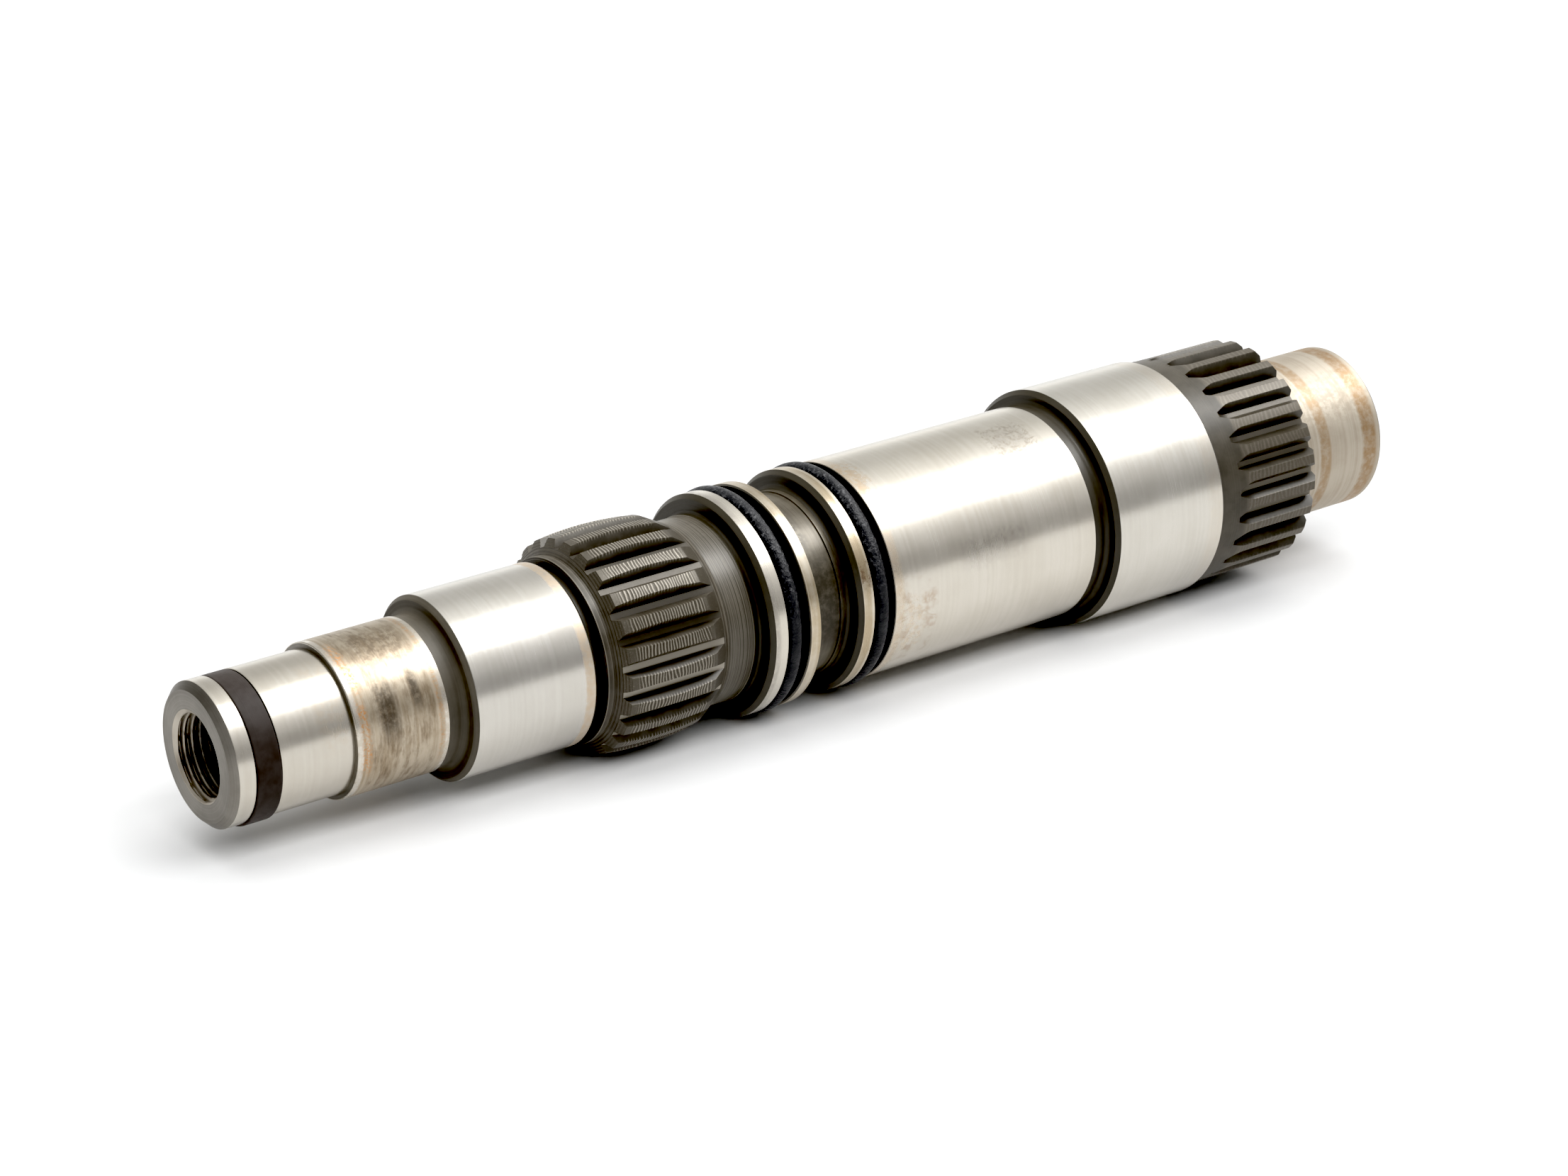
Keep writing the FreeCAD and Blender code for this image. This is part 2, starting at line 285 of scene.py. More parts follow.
def makeSteel(name, look):
    material, tree, shader, place = startMaterial(name)
    blotch = noise(tree, place["Point"], *steelPatterns["blotch"])
    grain = noise(tree, place["Point"], *steelPatterns["grain"])
    ragged = noise(tree, place["Point"], *steelPatterns["ragged"])
    lines = ringLines(tree, place, look["lines"])
    # deep turning shows its own lines in the colour, and finer work shows bands of them
    lineShare = look.get("lineShare", 0.4)
    bands = lines if lineShare > 0.5 else ringLines(tree, place, look["lines"] * steelPatterns["bands"])
    tone = plus(tree, times(tree, blotch, 1 - lineShare), times(tree, bands, lineShare))
    colour = blendColour(tree, mapRange(tree, tone, *steelPatterns["tone"]), look["dark"], look["light"])
    rough = plus(tree, swing(tree, lines, look["roughLines"]), swing(tree, blotch, look["roughBlotch"]),
                 look["rough"])
    metal = maths(tree, "SUBTRACT", look.get("metal", 1.0), times(tree, grain, steelPatterns["grainMetal"]))
    if "streaks" in look:
        colour, rough = addStreaks(tree, place, colour, rough, look["streaks"])
    colour, rough, metal = addStains(tree, place, ragged, colour, rough, metal, look.get("stains", []))
    colour = addMarks(tree, place, ragged, colour, look.get("marks", []))
    height = plus(tree, times(tree, lines, look["lineDepth"]), times(tree, grain, look["grainDepth"]))
    finishShader(tree, shader, height, steelPatterns["bumpReach"],
                 {"Base Color": colour, "Roughness": rough, "Metallic": metal})
    return material


# turned work: an outline of (x, r, rounding, finish of the stretch that follows)

poleR = 1e-6  # a ring smaller than this is one point


def roundedOutline(outline, steps=4, mostCut=0.49):
    # mostCut is the share of the stretch on each side that a rounding may take
    rings = []
    for i, (x, r, rounding, finish) in enumerate(outline):
        if rounding and 0 < i < len(outline) - 1:
            here = Vector((x, r))
            before = here - Vector(outline[i - 1][:2])
            after = Vector(outline[i + 1][:2]) - here
            lengths = before.length, after.length
            before.normalize()
            after.normalize()
            cross = before.x * after.y - before.y * after.x
            bend = math.acos(max(-1.0, min(1.0, before.dot(after))))
            cut = min(rounding * math.tan(bend / 2), mostCut * lengths[0], mostCut * lengths[1])
            radius = cut / math.tan(bend / 2)
            side = 1.0 if cross > 0 else -1.0
            start = here - before * cut
            centre = start + Vector((-before.y, before.x)) * radius * side
            spoke = start - centre
            for k in range(steps + 1):
                turned = Matrix.Rotation(side * bend * k / steps, 2) @ spoke
                rings.append((centre.x + turned.x, centre.y + turned.y, finish))
        else:
            rings.append((x, r, finish))
    return rings


def withSupports(rings, reach=0.12):
    # a ring just inside each end of a long stretch keeps the shading of its edge narrow
    made = []
    for i, (x, r, finish) in enumerate(rings):
        made.append((x, r, finish))
        if i + 1 < len(rings):
            nextX, nextR, _ = rings[i + 1]
            gap = math.hypot(nextX - x, nextR - r)
            if gap > 5 * reach:
                for share in (reach / gap, 1 - reach / gap):
                    made.append((x + (nextX - x) * share, r + (nextR - r) * share, finish))
    return made


def turnedMesh(name, rings, segments, closedRing, drop, shape):
    # rings round the bar, and the finish of each face
    points, starts = [], []
    for x, r, finish in rings:
        starts.append(len(points))
        if r < poleR:
            points.append((x, 0.0, 0.0))
            continue
        for k in range(segments):
            turn = 2 * math.pi * k / segments
            px, py, pz = barPoint(x, shape(x, r, turn, finish) if shape else r, turn)
            points.append((px, py, pz - drop))
    faces, finishes = [], []
    for i in range(len(rings) if closedRing else len(rings) - 1):
        j = (i + 1) % len(rings)
        a, b = starts[i], starts[j]
        firstPole, nextPole = rings[i][1] < poleR, rings[j][1] < poleR
        if firstPole and nextPole:
            continue
        for k in range(segments):
            n = (k + 1) % segments
            if firstPole:
                faces.append((a, b + n, b + k))
            elif nextPole:
                faces.append((a + k, a + n, b))
            else:
                faces.append((a + k, a + n, b + n, b + k))
            finishes.append(rings[i][2])
    mesh = bpy.data.meshes.new(name)
    mesh.from_pydata(points, [], faces)
    return mesh, finishes


def finishPiece(name, mesh, solidName, sharpAngle=50):
    mesh.transform(barPlace)
    mesh.shade_smooth()
    mesh.set_sharp_from_angle(angle=math.radians(sharpAngle))
    mesh.update()
    piece = bpy.data.objects.new(name, mesh)
    bpy.context.scene.collection.objects.link(piece)
    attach(piece, "root")
    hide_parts(solidName)
    madePieces.append(piece)
    print("made", name, len(mesh.polygons), "faces")


def makeTurned(name, form, finishes, solidName="shaft", closedRing=False, shape=None,
               rings=None):
    rings = rings or withSupports(roundedOutline(form["outline"]))
    mesh, used = turnedMesh(name, rings, form["segments"], closedRing, form.get("drop", 0.0), shape)
    names = sorted(set(used))
    for finish in names:
        mesh.materials.append(finishes[finish])
    mesh.polygons.foreach_set("material_index", [names.index(f) for f in used])
    finishPiece(name, mesh, solidName)


# finishes

silver = rgb(0.615, 0.578, 0.515)
rust = rgb(0.50, 0.24, 0.09)
tan = rgb(0.56, 0.44, 0.31)
smoke = rgb(0.24, 0.22, 0.20)
soot = rgb(0.085, 0.072, 0.058)
# colour of the painted shade on the neck between the lands
paintedNeckShade = rgb(0.045, 0.039, 0.030)
# colour of the painted shade inside the bore
paintedBoreShade = rgb(0.02, 0.017, 0.014)

groundLook = {"light": silver, "dark": rgb(0.572, 0.534, 0.468), "rough": 0.24, "roughLines": 0.10,
              "roughBlotch": 0.10, "lines": 6.0, "lineDepth": 0.25, "grainDepth": 0.1}
noseLook = dict(groundLook, light=rgb(0.565, 0.531, 0.473), dark=rgb(0.528, 0.493, 0.432), stains=[
    (16.5, 22.4, 20, 90, 1.2, 12, tan, 0.18, 0.34, 0.9),
])
secondLook = dict(
    groundLook, light=rgb(0.50, 0.437, 0.350), dark=rgb(0.37, 0.306, 0.228), rough=0.37,
    streaks=(rgb(0.19, 0.145, 0.10), 24.9, 37.6, 0.8), stains=[  # colour, start, end, strength
        (27.0, 37.0, 4, 42, 1.5, 10, rgb(0.20, 0.16, 0.12), 0.6, 0.36, 0.9),
        (22.0, 23.45, -180, 180, 0.25, 1, silver, 1.0, 0.22, 1.0),
        (38.95, 40.0, -180, 180, 0.2, 1, silver, 0.9, 0.24, 1.0),
        (23.3, 25.1, 8, 50, 0.45, 9, rust, 0.95, 0.45, 0.5),
        (23.3, 24.9, 60, 82, 0.4, 8, rust, 1.0, 0.45, 0.5),
        (23.3, 25.0, 86, 112, 0.45, 8, rust, 0.9, 0.45, 0.5),
        (27.2, 30.6, 53, 90, 0.9, 11, soot, 0.85, 0.45, 0.7),
        (33.7, 35.3, 49, 73, 0.45, 7, soot, 0.85, 0.45, 0.7),
        (37.9, 38.9, -20, 120, 0.3, 20, rust, 0.4, 0.45, 0.7),
    ])
thirdLook = dict(groundLook, light=rgb(0.580, 0.555, 0.512), dark=rgb(0.545, 0.520, 0.473), stains=[
    (64.9, 66.9, -180, 180, 0.25, 1, tan, 0.75, 0.5, 0.75),
])
longLook = dict(groundLook, stains=[
    (159.5, 167.5, 12, 36, 1.5, 8, smoke, 0.28, 0.34, 0.95),
    (143.0, 157.5, 70, 82, 2.4, 5, smoke, 0.34, 0.34, 0.95),
    (129.8, 134.2, 92, 124, 0.8, 8, tan, 0.4, 0.34, 0.9),
    (127.2, 129.2, -180, 180, 0.5, 1, tan, 0.5, 0.34, 0.9),
    (127.2, 131.5, 4, 42, 0.9, 8, rgb(0.46, 0.33, 0.20), 0.5, 0.34, 0.9),
], marks=[
    (128.5, 136.5, 84, 130, rgb(0.34, 0.23, 0.14), 0.42, 0.2, 0.1, 0.6),
    (158.5, 168.5, 8, 40, rgb(0.29, 0.24, 0.18), 0.5, 0.7, 0.09, 0.8),
])
largeLook = dict(groundLook, light=rgb(0.600, 0.573, 0.522), dark=rgb(0.560, 0.532, 0.478), stains=[
    (198.5, 202.0, -180, 180, 0.8, 1, tan, 0.15, 0.34, 1.0),
])
endLook = dict(
    groundLook, light=rgb(0.48, 0.432, 0.362), dark=rgb(0.40, 0.347, 0.28), rough=0.54, metal=0.8, stains=[
        # painted shade: a darker band along the journal where the highlight falls dims it
        (227.8, 248.6, 28, 64, 2.0, 10, rgb(0.34, 0.30, 0.24), 0.55, 0.6, 0.7),
        (233.0, 235.6, -180, 180, 0.35, 1, rgb(0.33, 0.235, 0.145), 0.85, 0.5, 0.8),
        (244.0, 247.4, -180, 180, 0.45, 1, rgb(0.32, 0.22, 0.13), 0.95, 0.5, 0.8),
    ])
landLook = dict(groundLook, stains=[
    (101.2, 102.2, -180, 180, 0.35, 1, smoke, 0.45, 0.45, 0.9),
])
brassLook = {
    "light": rgb(0.60, 0.545, 0.455), "dark": rgb(0.42, 0.35, 0.25), "rough": 0.3, "roughLines": 0.25,
    "roughBlotch": 0.2, "lines": 4.0, "lineDepth": 0.7, "grainDepth": 0.3, "stains": [
        (120.4, 122.4, 64, 77, 0.3, 3, rgb(0.12, 0.07, 0.04), 0.8, 0.5, 0.5),
    ]}
turnedLook = {"light": rgb(0.27, 0.255, 0.23), "dark": rgb(0.20, 0.187, 0.167), "rough": 0.45,
              "roughLines": 0.25, "roughBlotch": 0.15, "lines": 3.2, "lineDepth": 1.6, "grainDepth": 0.5}
darkLook = {"light": rgb(0.066, 0.059, 0.046), "dark": rgb(0.053, 0.047, 0.036), "rough": 0.41, "metal": 0.1,
            "roughLines": 0.2, "roughBlotch": 0.18, "lines": 3.6, "lineDepth": 1.3, "grainDepth": 0.7}
reliefLook = dict(darkLook, light=rgb(0.115, 0.103, 0.083), dark=rgb(0.085, 0.076, 0.060), rough=0.55)
firstNeckLook = dict(darkLook, light=rgb(0.165, 0.149, 0.122), dark=rgb(0.060, 0.053, 0.041), rough=0.36,
                     lines=4.4, lineDepth=3.0, lineShare=0.75)
neckLook = dict(
    darkLook, light=rgb(0.17, 0.152, 0.12), dark=rgb(0.10, 0.087, 0.066), metal=0.35, rough=0.32,
    lineDepth=0.4, grainDepth=0.5, stains=[
        # painted shade: the side of the neck that faces the camera and down, deep between the lands, is
        # darkened
        (110.0, 118.5, 57, 112, 1.6, 8, paintedNeckShade, 0.85, 0.4, 0.1),
        (110.0, 114.5, 10, 50, 1.2, 8, rgb(0.06, 0.052, 0.04), 0.7, 0.38, 0.15),
    ])
boreLook = dict(
    darkLook, light=rgb(0.50, 0.46, 0.40), dark=rgb(0.34, 0.30, 0.25), lineDepth=0.2, metal=0.9, stains=[
        # painted shade: the bore darkens from a little inside its mouth, and is darker still on one side
        (4.2, 50.0, -180, 180, 2.2, 1, paintedBoreShade, 1.0, 0.5, 0.3),
        (-1.0, 50.0, 60, 130, 0.5, 18, paintedBoreShade, 0.9, 0.5, 0.3),
    ])

steel = {
    "nose": makeSteel("noseGround", noseLook),
    "second": makeSteel("secondGround", secondLook),
    "third": makeSteel("thirdGround", thirdLook),
    "long": makeSteel("longGround", longLook),
    "large": makeSteel("largeGround", largeLook),
    "end": makeSteel("endGround", endLook),
    "turned": makeSteel("turnedSteel", turnedLook),
    "dark": makeSteel("darkSteel", darkLook),
    "bore": makeSteel("boreSteel", boreLook),
    "relief": makeSteel("reliefSteel", reliefLook),
    "firstNeck": makeSteel("turnedNeck", firstNeckLook),
    "neck": makeSteel("smoothNeck", neckLook),
    "brass": makeSteel("brassyLand", brassLook),
    "land": makeSteel("brightLand", landLook),
}
print("steel finishes made")


# nose, second and third journal, with the tapped hole

tapThread = {"pitch": 1.5, "coreR": 7.19, "rootR": 8.0, "mouthDepth": 0.65, "threadEnd": 28.0,
             "drillEnd": 33.0, "drillPoint": 37.32, "step": 0.125,
             "crest": 0.22, "flank": 0.62}  # shares of half a pitch
noseAndJournals = {"segments": 192, "outline": [
    (0, 8.0, 0, "turned"), (0, 11.25, 0.12, "turned"), (1.25, 12.5, 0.12, "nose"),
    (4.25, 12.5, 0.1, "dark"), (4.25, 10.1, 0, "dark"), (8.95, 10.1, 0, "dark"), (8.95, 12.5, 0.1, "nose"),
    (22.4, 12.5, 0, "turned"), (22.4, 13.5, 0.2, "second"), (39.8, 13.5, 0.08, "relief"),
    (39.8, 13.25, 0.1, "relief"), (43.1, 13.25, 1.9, "relief"), (43.1, 15.45, 0.12, "relief"),
    (43.9, 16.25, 0.15, "third"), (66.75, 16.25, 0.15, "turned"), (67.45, 15.55, 0.1, "dark"),
    (67.45, 14.75, 0.15, "dark"), (69.05, 14.75, 0, "dark"), (69.05, 0, 0, "dark"),
]}


def threadRadius(x, r, turn, finish):
    if finish != "bore" or x <= 0 or x > tapThread["threadEnd"]:
        return r
    phase = (x / tapThread["pitch"] - turn / (2 * math.pi)) % 1.0
    slope = abs(phase - 0.5) * 2
    rise = max(0.0, min(1.0, (slope - tapThread["crest"]) / tapThread["flank"]))
    rise = rise * rise * (3 - 2 * rise) * 0.5 + rise * 0.5  # between a rounded flank and a straight one
    depth = tapThread["rootR"] - tapThread["coreR"]
    mouth = tapThread["rootR"] - depth * x / tapThread["mouthDepth"]
    return max(tapThread["coreR"] + depth * rise, mouth)


def makeNosePart():
    end, step, coreR = tapThread["threadEnd"], tapThread["step"], tapThread["coreR"]
    bore = [(tapThread["drillPoint"], 0.0), (tapThread["drillEnd"], coreR)]
    bore += [(end - k * step, coreR) for k in range(round(end / step))]
    skin = withSupports(roundedOutline(noseAndJournals["outline"]))
    makeTurned("nose_and_journals", noseAndJournals, steel, shape=threadRadius,
               rings=[(x, r, "bore") for x, r in bore] + skin)


makeNosePart()

# seal carrier with its lands, grooves and necks
sealCarrier = {"segments": 288, "outline": [
    (93.85, 0, 0, "dark"), (93.85, 16.8, 0, "firstNeck"), (98.85, 16.8, 0.1, "firstNeck"),
    (98.95, 16.93, 0.06, "firstNeck"), (99.25, 16.93, 0.06, "dark"), (99.32, 16.8, 0.06, "dark"),
    (100.45, 16.8, 1.1, "dark"), (100.45, 19.4, 0.12, "dark"), (101.3, 20.25, 0.12, "land"),
    (103.85, 20.25, 0.1, "dark"), (103.85, 17.15, 0, "dark"), (108.6, 17.15, 0, "dark"),
    (108.6, 19.9, 0.05, "turned"), (108.78, 20.25, 0.08, "brass"), (110.85, 20.25, 0.1, "dark"),
    (110.85, 16.65, 0.1, "neck"), (117.55, 16.65, 0, "neck"), (117.55, 16.95, 0.08, "neck"),
    (119.4, 16.95, 0.85, "dark"), (119.4, 19.4, 0.12, "dark"), (120.25, 20.25, 0.12, "brass"),
    (122.5, 20.25, 0.1, "dark"), (122.5, 17.15, 0, "dark"), (127.25, 17.15, 0, "dark"),
    (127.25, 0, 0, "dark"),
]}
makeTurned("seal_carrier", sealCarrier, steel)

# long journal, relief and large journal
longAndLarge = {"segments": 312, "outline": [
    (127.25, 0, 0, "turned"), (127.25, 19.85, 0.06, "turned"), (127.4, 20.0, 0.06, "long"),
    (173.05, 20.0, 0.08, "dark"), (173.05, 19.6, 0.1, "dark"), (176.25, 19.6, 1.5, "dark"),
    (176.25, 21.55, 0.12, "dark"), (177.1, 22.4, 0.12, "large"), (201.75, 22.4, 0.15, "turned"),
    (202.5, 21.65, 0.05, "dark"), (202.5, 0, 0, "dark"),
]}
makeTurned("long_and_large_journal", longAndLarge, steel)

# end journal with its lathe centre
endJournal = {"segments": 224, "outline": [
    (226.5, 0, 0, "dark"), (226.5, 16.5, 0, "turned"), (226.6, 16.2, 0.6, "turned"), (227.5, 15.5, 0.9, "end"),
    (248.4, 15.5, 0.15, "turned"), (249.2, 14.7, 0.12, "turned"), (249.2, 3.2, 0.1, "turned"),
    (246.429, 1.6, 0, "turned"), (243.7, 1.6, 0, "turned"), (242.739, 0, 0, "turned"),
]}
makeTurned("end_journal", endJournal, steel)


# splines: one tooth pitch of skin, set round the bar by Geometry Nodes

pressureAngle = math.radians(30)
tipRipples = {
    "driftScale": 0.22, "drift": 22.0, "fineScale": 1.6, "detail": 2.0,  # drift puts the teeth out of step
    "heights": (0.3, 0.7, 0.35, 1.5), "fadeIn": 2.2, "fadeOut": 1.2, "tipLand": 0.9, "mergeGap": 0.002,
}


def involute(angle):
    return math.tan(angle) - angle


def spaceHalf(spline, r):
    # half angle of a tooth space at a radius
    pitchR = spline["module"] * spline["teeth"] / 2
    baseR = pitchR * math.cos(pressureAngle)
    atPitch = math.pi / spline["teeth"] * spline["share"]
    return atPitch + involute(math.acos(min(1.0, baseR / r))) - involute(pressureAngle)


def stripRow(spline, x, skinR, floorX=None, floorR=None, lift=0.0, cutDepth=None):
    # one row across a tooth pitch: floor, flank, land, flank, floor; each point (x, r, turn, land)
    floorX = x if floorX is None else floorX
    floorR = min(spline["rootR"] if floorR is None else floorR, skinR)
    cutDepth = skinR - spline["rootR"] if cutDepth is None else cutDepth
    half = math.pi / spline["teeth"]
    flankSteps, landSteps = spline["flankSteps"], spline["landSteps"]
    rootHalf = spaceHalf(spline, spline["rootR"])
    side = [(floorX, floorR + lift, half, 0.0), (floorX, floorR + lift, half - rootHalf / 2, 0.0)]
    for k in range(flankSteps + 1):
        share = k / flankSteps
        depth = max(0.0, cutDepth * share)
        side.append((floorX + (x - floorX) * share, floorR + (skinR - floorR) * share + lift * (1 - share),
                     half - spaceHalf(spline, spline["rootR"] + depth), 0.0 if k == 0 else 0.5))
    edge = side[-1][2]
    land = [(x, skinR, edge * (1 - 2 * k / landSteps), 1.0) for k in range(landSteps + 1)]
    return side[:-1] + land + [(px, r, -turn, onLand) for px, r, turn, onLand in reversed(side[:-1])]


def closedRows(rows):
    # a row on the bar's axis closes each end
    first, last = ([(x, 0.0, turn, land) for x, _, turn, land in row] for row in (rows[0], rows[-1]))
    return [first] + rows + [last]


def stripMesh(name, rows, plains):
    # plains says in which rows no space is cut
    width = len(rows[0])
    points = [barPoint(x, r, turn) for row in rows for x, r, turn, _ in row]
    faces = []
    for i in range(len(rows) - 1):
        for k in range(width - 1):
            a = i * width + k
            faces.append((a, a + width, a + width + 1, a + 1))
    mesh = bpy.data.meshes.new(name)
    mesh.from_pydata(points, [], faces)
    lands = [land for row in rows for _, _, _, land in row]
    blanks = [float(plain) for plain in plains for _ in range(width)]
    for attribute, values in (("land", lands), ("blank", blanks)):
        mesh.attributes.new(attribute, "FLOAT", "POINT").data.foreach_set("value", values)
    return mesh


def makeTeethTree():
    tree = startGroup("splineTeeth", "GeometryNodeTree", {
        "Geometry": "Geometry", "Teeth": "Int", "First Tooth": "Float", "Ripple Pitch": "Float",
        "Ripple Depth": "Float", "Ripple Start": "Float", "Ripple End": "Float", "Seed": "Float",
        "Finish": "Material"}, {"Geometry": "Geometry"})
    given = node(tree, "NodeGroupInput").outputs
    points = node(tree, "GeometryNodePoints", {0: given["Teeth"]}).outputs[0]
    index = node(tree, "GeometryNodeInputIndex").outputs[0]
    step = maths(tree, "DIVIDE", 2 * math.pi, given["Teeth"])
    turn = plus(tree, maths(tree, "RADIANS", given["First Tooth"]), times(tree, index, step))
    turned = node(tree, "ShaderNodeCombineXYZ", {0: turn}).outputs[0]
    placed = node(tree, "GeometryNodeInstanceOnPoints", {"Points": points, "Instance": given["Geometry"],
                  "Rotation": turned}).outputs[0]
    real = node(tree, "GeometryNodeRealizeInstances", {0: placed}).outputs[0]
    # ripples across the tooth tips, out of step from tooth to tooth
    place = node(tree, "GeometryNodeInputPosition").outputs[0]
    parts = node(tree, "ShaderNodeSeparateXYZ", {0: place}).outputs
    outward = node(tree, "ShaderNodeCombineXYZ", {1: parts[1], 2: parts[2]}).outputs[0]
    outward = node(tree, "ShaderNodeVectorMath", {0: outward}, operation="NORMALIZE").outputs[0]
    drift, fine = (node(tree, "ShaderNodeTexNoise", {
        "Vector": place, "W": given["Seed"], "Scale": tipRipples[scale], "Detail": tipRipples["detail"]},
        noise_dimensions="4D").outputs[0] for scale in ("driftScale", "fineScale"))
    phase = plus(tree, maths(tree, "DIVIDE", times(tree, parts[0], 2 * math.pi), given["Ripple Pitch"]),
                 times(tree, drift, tipRipples["drift"]))
    wave = maths(tree, "SINE", phase)
    size = times(tree, given["Ripple Depth"], mapRange(tree, fine, *tipRipples["heights"]))
    fullAt = plus(tree, given["Ripple Start"], tipRipples["fadeIn"])
    fadesAt = maths(tree, "SUBTRACT", given["Ripple End"], tipRipples["fadeOut"])
    land = node(tree, "GeometryNodeInputNamedAttribute", {"Name": "land"}, data_type="FLOAT").outputs[0]
    shown = times(tree, mapRange(tree, parts[0], given["Ripple Start"], fullAt),
                  mapRange(tree, parts[0], fadesAt, given["Ripple End"], 1.0, 0.0),
                  maths(tree, "GREATER_THAN", land, tipRipples["tipLand"]))
    marked = node(tree, "GeometryNodeStoreNamedAttribute", {
        "Geometry": real, "Name": "ripple", "Value": times(tree, wave, shown)},
        data_type="FLOAT", domain="POINT").outputs[0]
    offset = node(tree, "ShaderNodeVectorMath", {0: outward, "Scale": times(tree, wave, size, shown)},
                  operation="SCALE").outputs[0]
    moved = node(tree, "GeometryNodeSetPosition", {"Geometry": marked, "Offset": offset}).outputs[0]
    joined = node(tree, "GeometryNodeMergeByDistance", {
        "Geometry": moved, "Distance": tipRipples["mergeGap"]}).outputs[0]
    made = node(tree, "GeometryNodeRealizeInstances", {0: joined}).outputs[0]
    finished = node(tree, "GeometryNodeSetMaterial", {
        "Geometry": made, "Material": given["Finish"]}).outputs[0]
    node(tree, "NodeGroupOutput", {0: finished})
    return tree


teethTree = makeTeethTree()


def makeSpline(name, spline, rows, plains, finish):
    strip = bpy.data.objects.new(name + "_strip", stripMesh(name + "Strip", rows, plains))
    bpy.context.scene.collection.objects.link(strip)
    ring = strip.modifiers.new("teeth", "NODES")
    ring.node_group = teethTree
    sockets = {s.name: s.identifier for s in teethTree.interface.items_tree if s.in_out == "INPUT"}
    values = {"Teeth": spline["teeth"], "First Tooth": spline["firstTooth"], **spline["ripples"],
              "Finish": finish}
    for key, value in values.items():
        ring[sockets[key]] = value
    seen = strip.evaluated_get(bpy.context.evaluated_depsgraph_get())
    mesh = bpy.data.meshes.new_from_object(seen)
    strip.modifiers.remove(ring)
    bpy.data.objects.remove(strip)
    mesh.name = name
    finishPiece(name, mesh, "shaft", sharpAngle=38)


splinePatterns = {
    "blotch": (0.25, 4.0, 0.6), "grain": (4.0, 4.0, 0.7), "tone": (0.35, 0.65),
    "tip": (0.8, 0.98), "floor": (0.02, 0.2, 1.0, 0.0),  # by the land, which is 1 on the tip, 0 on the floor
    "tipFade": 0.5, "reflectionTurn": (66.0, 92.0),
    "crest": (0.1, 0.95), "valleyShade": (-0.9, -0.1, 1.0, 0.0), "speck": (0.52, 0.75, 0.0, 0.3),
    "ridge": (0.5, 0.68), "roughGrain": 0.3, "lineDepth": 2.0, "grainDepth": 0.9,
}


def makeSplineSteel(name, look):
    material, tree, shader, place = startMaterial(name)
    land, blank, ripple = (node(tree, "ShaderNodeAttribute", attribute_name=attribute).outputs["Fac"]
                           for attribute in ("land", "blank", "ripple"))
    blotch = noise(tree, place["Point"], *splinePatterns["blotch"])
    grain = noise(tree, place["Point"], *splinePatterns["grain"])
    lines = ringLines(tree, place, look["lines"])
    cut = maths(tree, "SUBTRACT", 1.0, blank)
    fade = splinePatterns["tipFade"]
    past = mapRange(tree, place["Along"], look["tipFrom"] - fade, look["tipFrom"] + fade)
    onTip = times(tree, mapRange(tree, land, *splinePatterns["tip"]), cut, past)
    onFloor = times(tree, mapRange(tree, land, *splinePatterns["floor"]), cut)
    tone = mapRange(tree, blotch, *splinePatterns["tone"])
    colour = blendColour(tree, tone, look["dark"], look["light"])
    colour = blendColour(tree, times(tree, onTip, look["tipShare"]), colour, look["tip"])
    # painted reflection: the floors of the spaces on the camera's lower side are made brighter, standing in
    # for the pale floor they mirror
    low = mapRange(tree, place["Turn"], *splinePatterns["reflectionTurn"])
    floorAndReflection = blendColour(tree, low, look["floor"], look["paintedFloorReflection"])
    colour = blendColour(tree, times(tree, onFloor, look["floorShare"]), colour, floorAndReflection)
    # painted highlight and shade: the crests of the ripples are coloured bright as glints, and the valleys
    # between them dark as shade
    crestGlint = times(tree, mapRange(tree, ripple, *splinePatterns["crest"]), look["crestShare"])
    colour = blendColour(tree, crestGlint, colour, look["crest"])
    valleyShade = times(tree, mapRange(tree, ripple, *splinePatterns["valleyShade"]), look["valleyShare"])
    colour = blendColour(tree, valleyShade, colour, look["dark"])
    speck = mapRange(tree, grain, *splinePatterns["speck"])
    colour = blendColour(tree, times(tree, speck, onTip), colour, look["crest"])
    # painted highlight: the peaks of the turning lines on the uncut blank are coloured bright, as lit ridges
    ridge = times(tree, mapRange(tree, lines, *splinePatterns["ridge"]), blank, look["ridgeShare"])
    colour = blendColour(tree, ridge, colour, look["crest"])
    rough = plus(tree, look["rough"], swing(tree, grain, splinePatterns["roughGrain"]))
    metal = blendValue(tree, onTip, look["metal"], look["tipMetal"])
    metal = blendValue(tree, onFloor, metal, look["floorMetal"])
    height = plus(tree, times(tree, lines, blank, splinePatterns["lineDepth"]),
                  times(tree, grain, splinePatterns["grainDepth"]))
    shader.inputs["IOR"].default_value = look["ior"]
    finishShader(tree, shader, height, steelPatterns["bumpReach"],
                 {"Base Color": colour, "Roughness": rough, "Metallic": metal})
    return material


# front spline: collar, terraced cone, crowned tips, long cone
frontSpline = {
    "teeth": 24, "module": 1.5875, "share": 0.5, "rootR": 17.75, "firstTooth": 16.76,
    "flankSteps": 3, "landSteps": 5, "rowStep": 0.11, "plainGap": 0.0001,
    "collar": ((69.05, 16.52), (69.13, 16.6), (69.6, 16.6), (70.55, 16.6)),
    "coneStart": (70.65, 16.6), "coneEnd": (72.15, 19.2), "terraces": 5, "terraceLift": 0.045,
    "tipLength": 17.3, "crowning": 0.55,
    "farStart": 89.45, "farLength": 4.4, "farFall": 2.4, "farShares": (0.08, 0.2, 0.4, 0.6, 0.8, 0.97, 1.0),
    "ripples": {"Ripple Pitch": 0.6, "Ripple Depth": 0.035, "Ripple Start": 72.3, "Ripple End": 89.4,
                "Seed": 3.0},
}
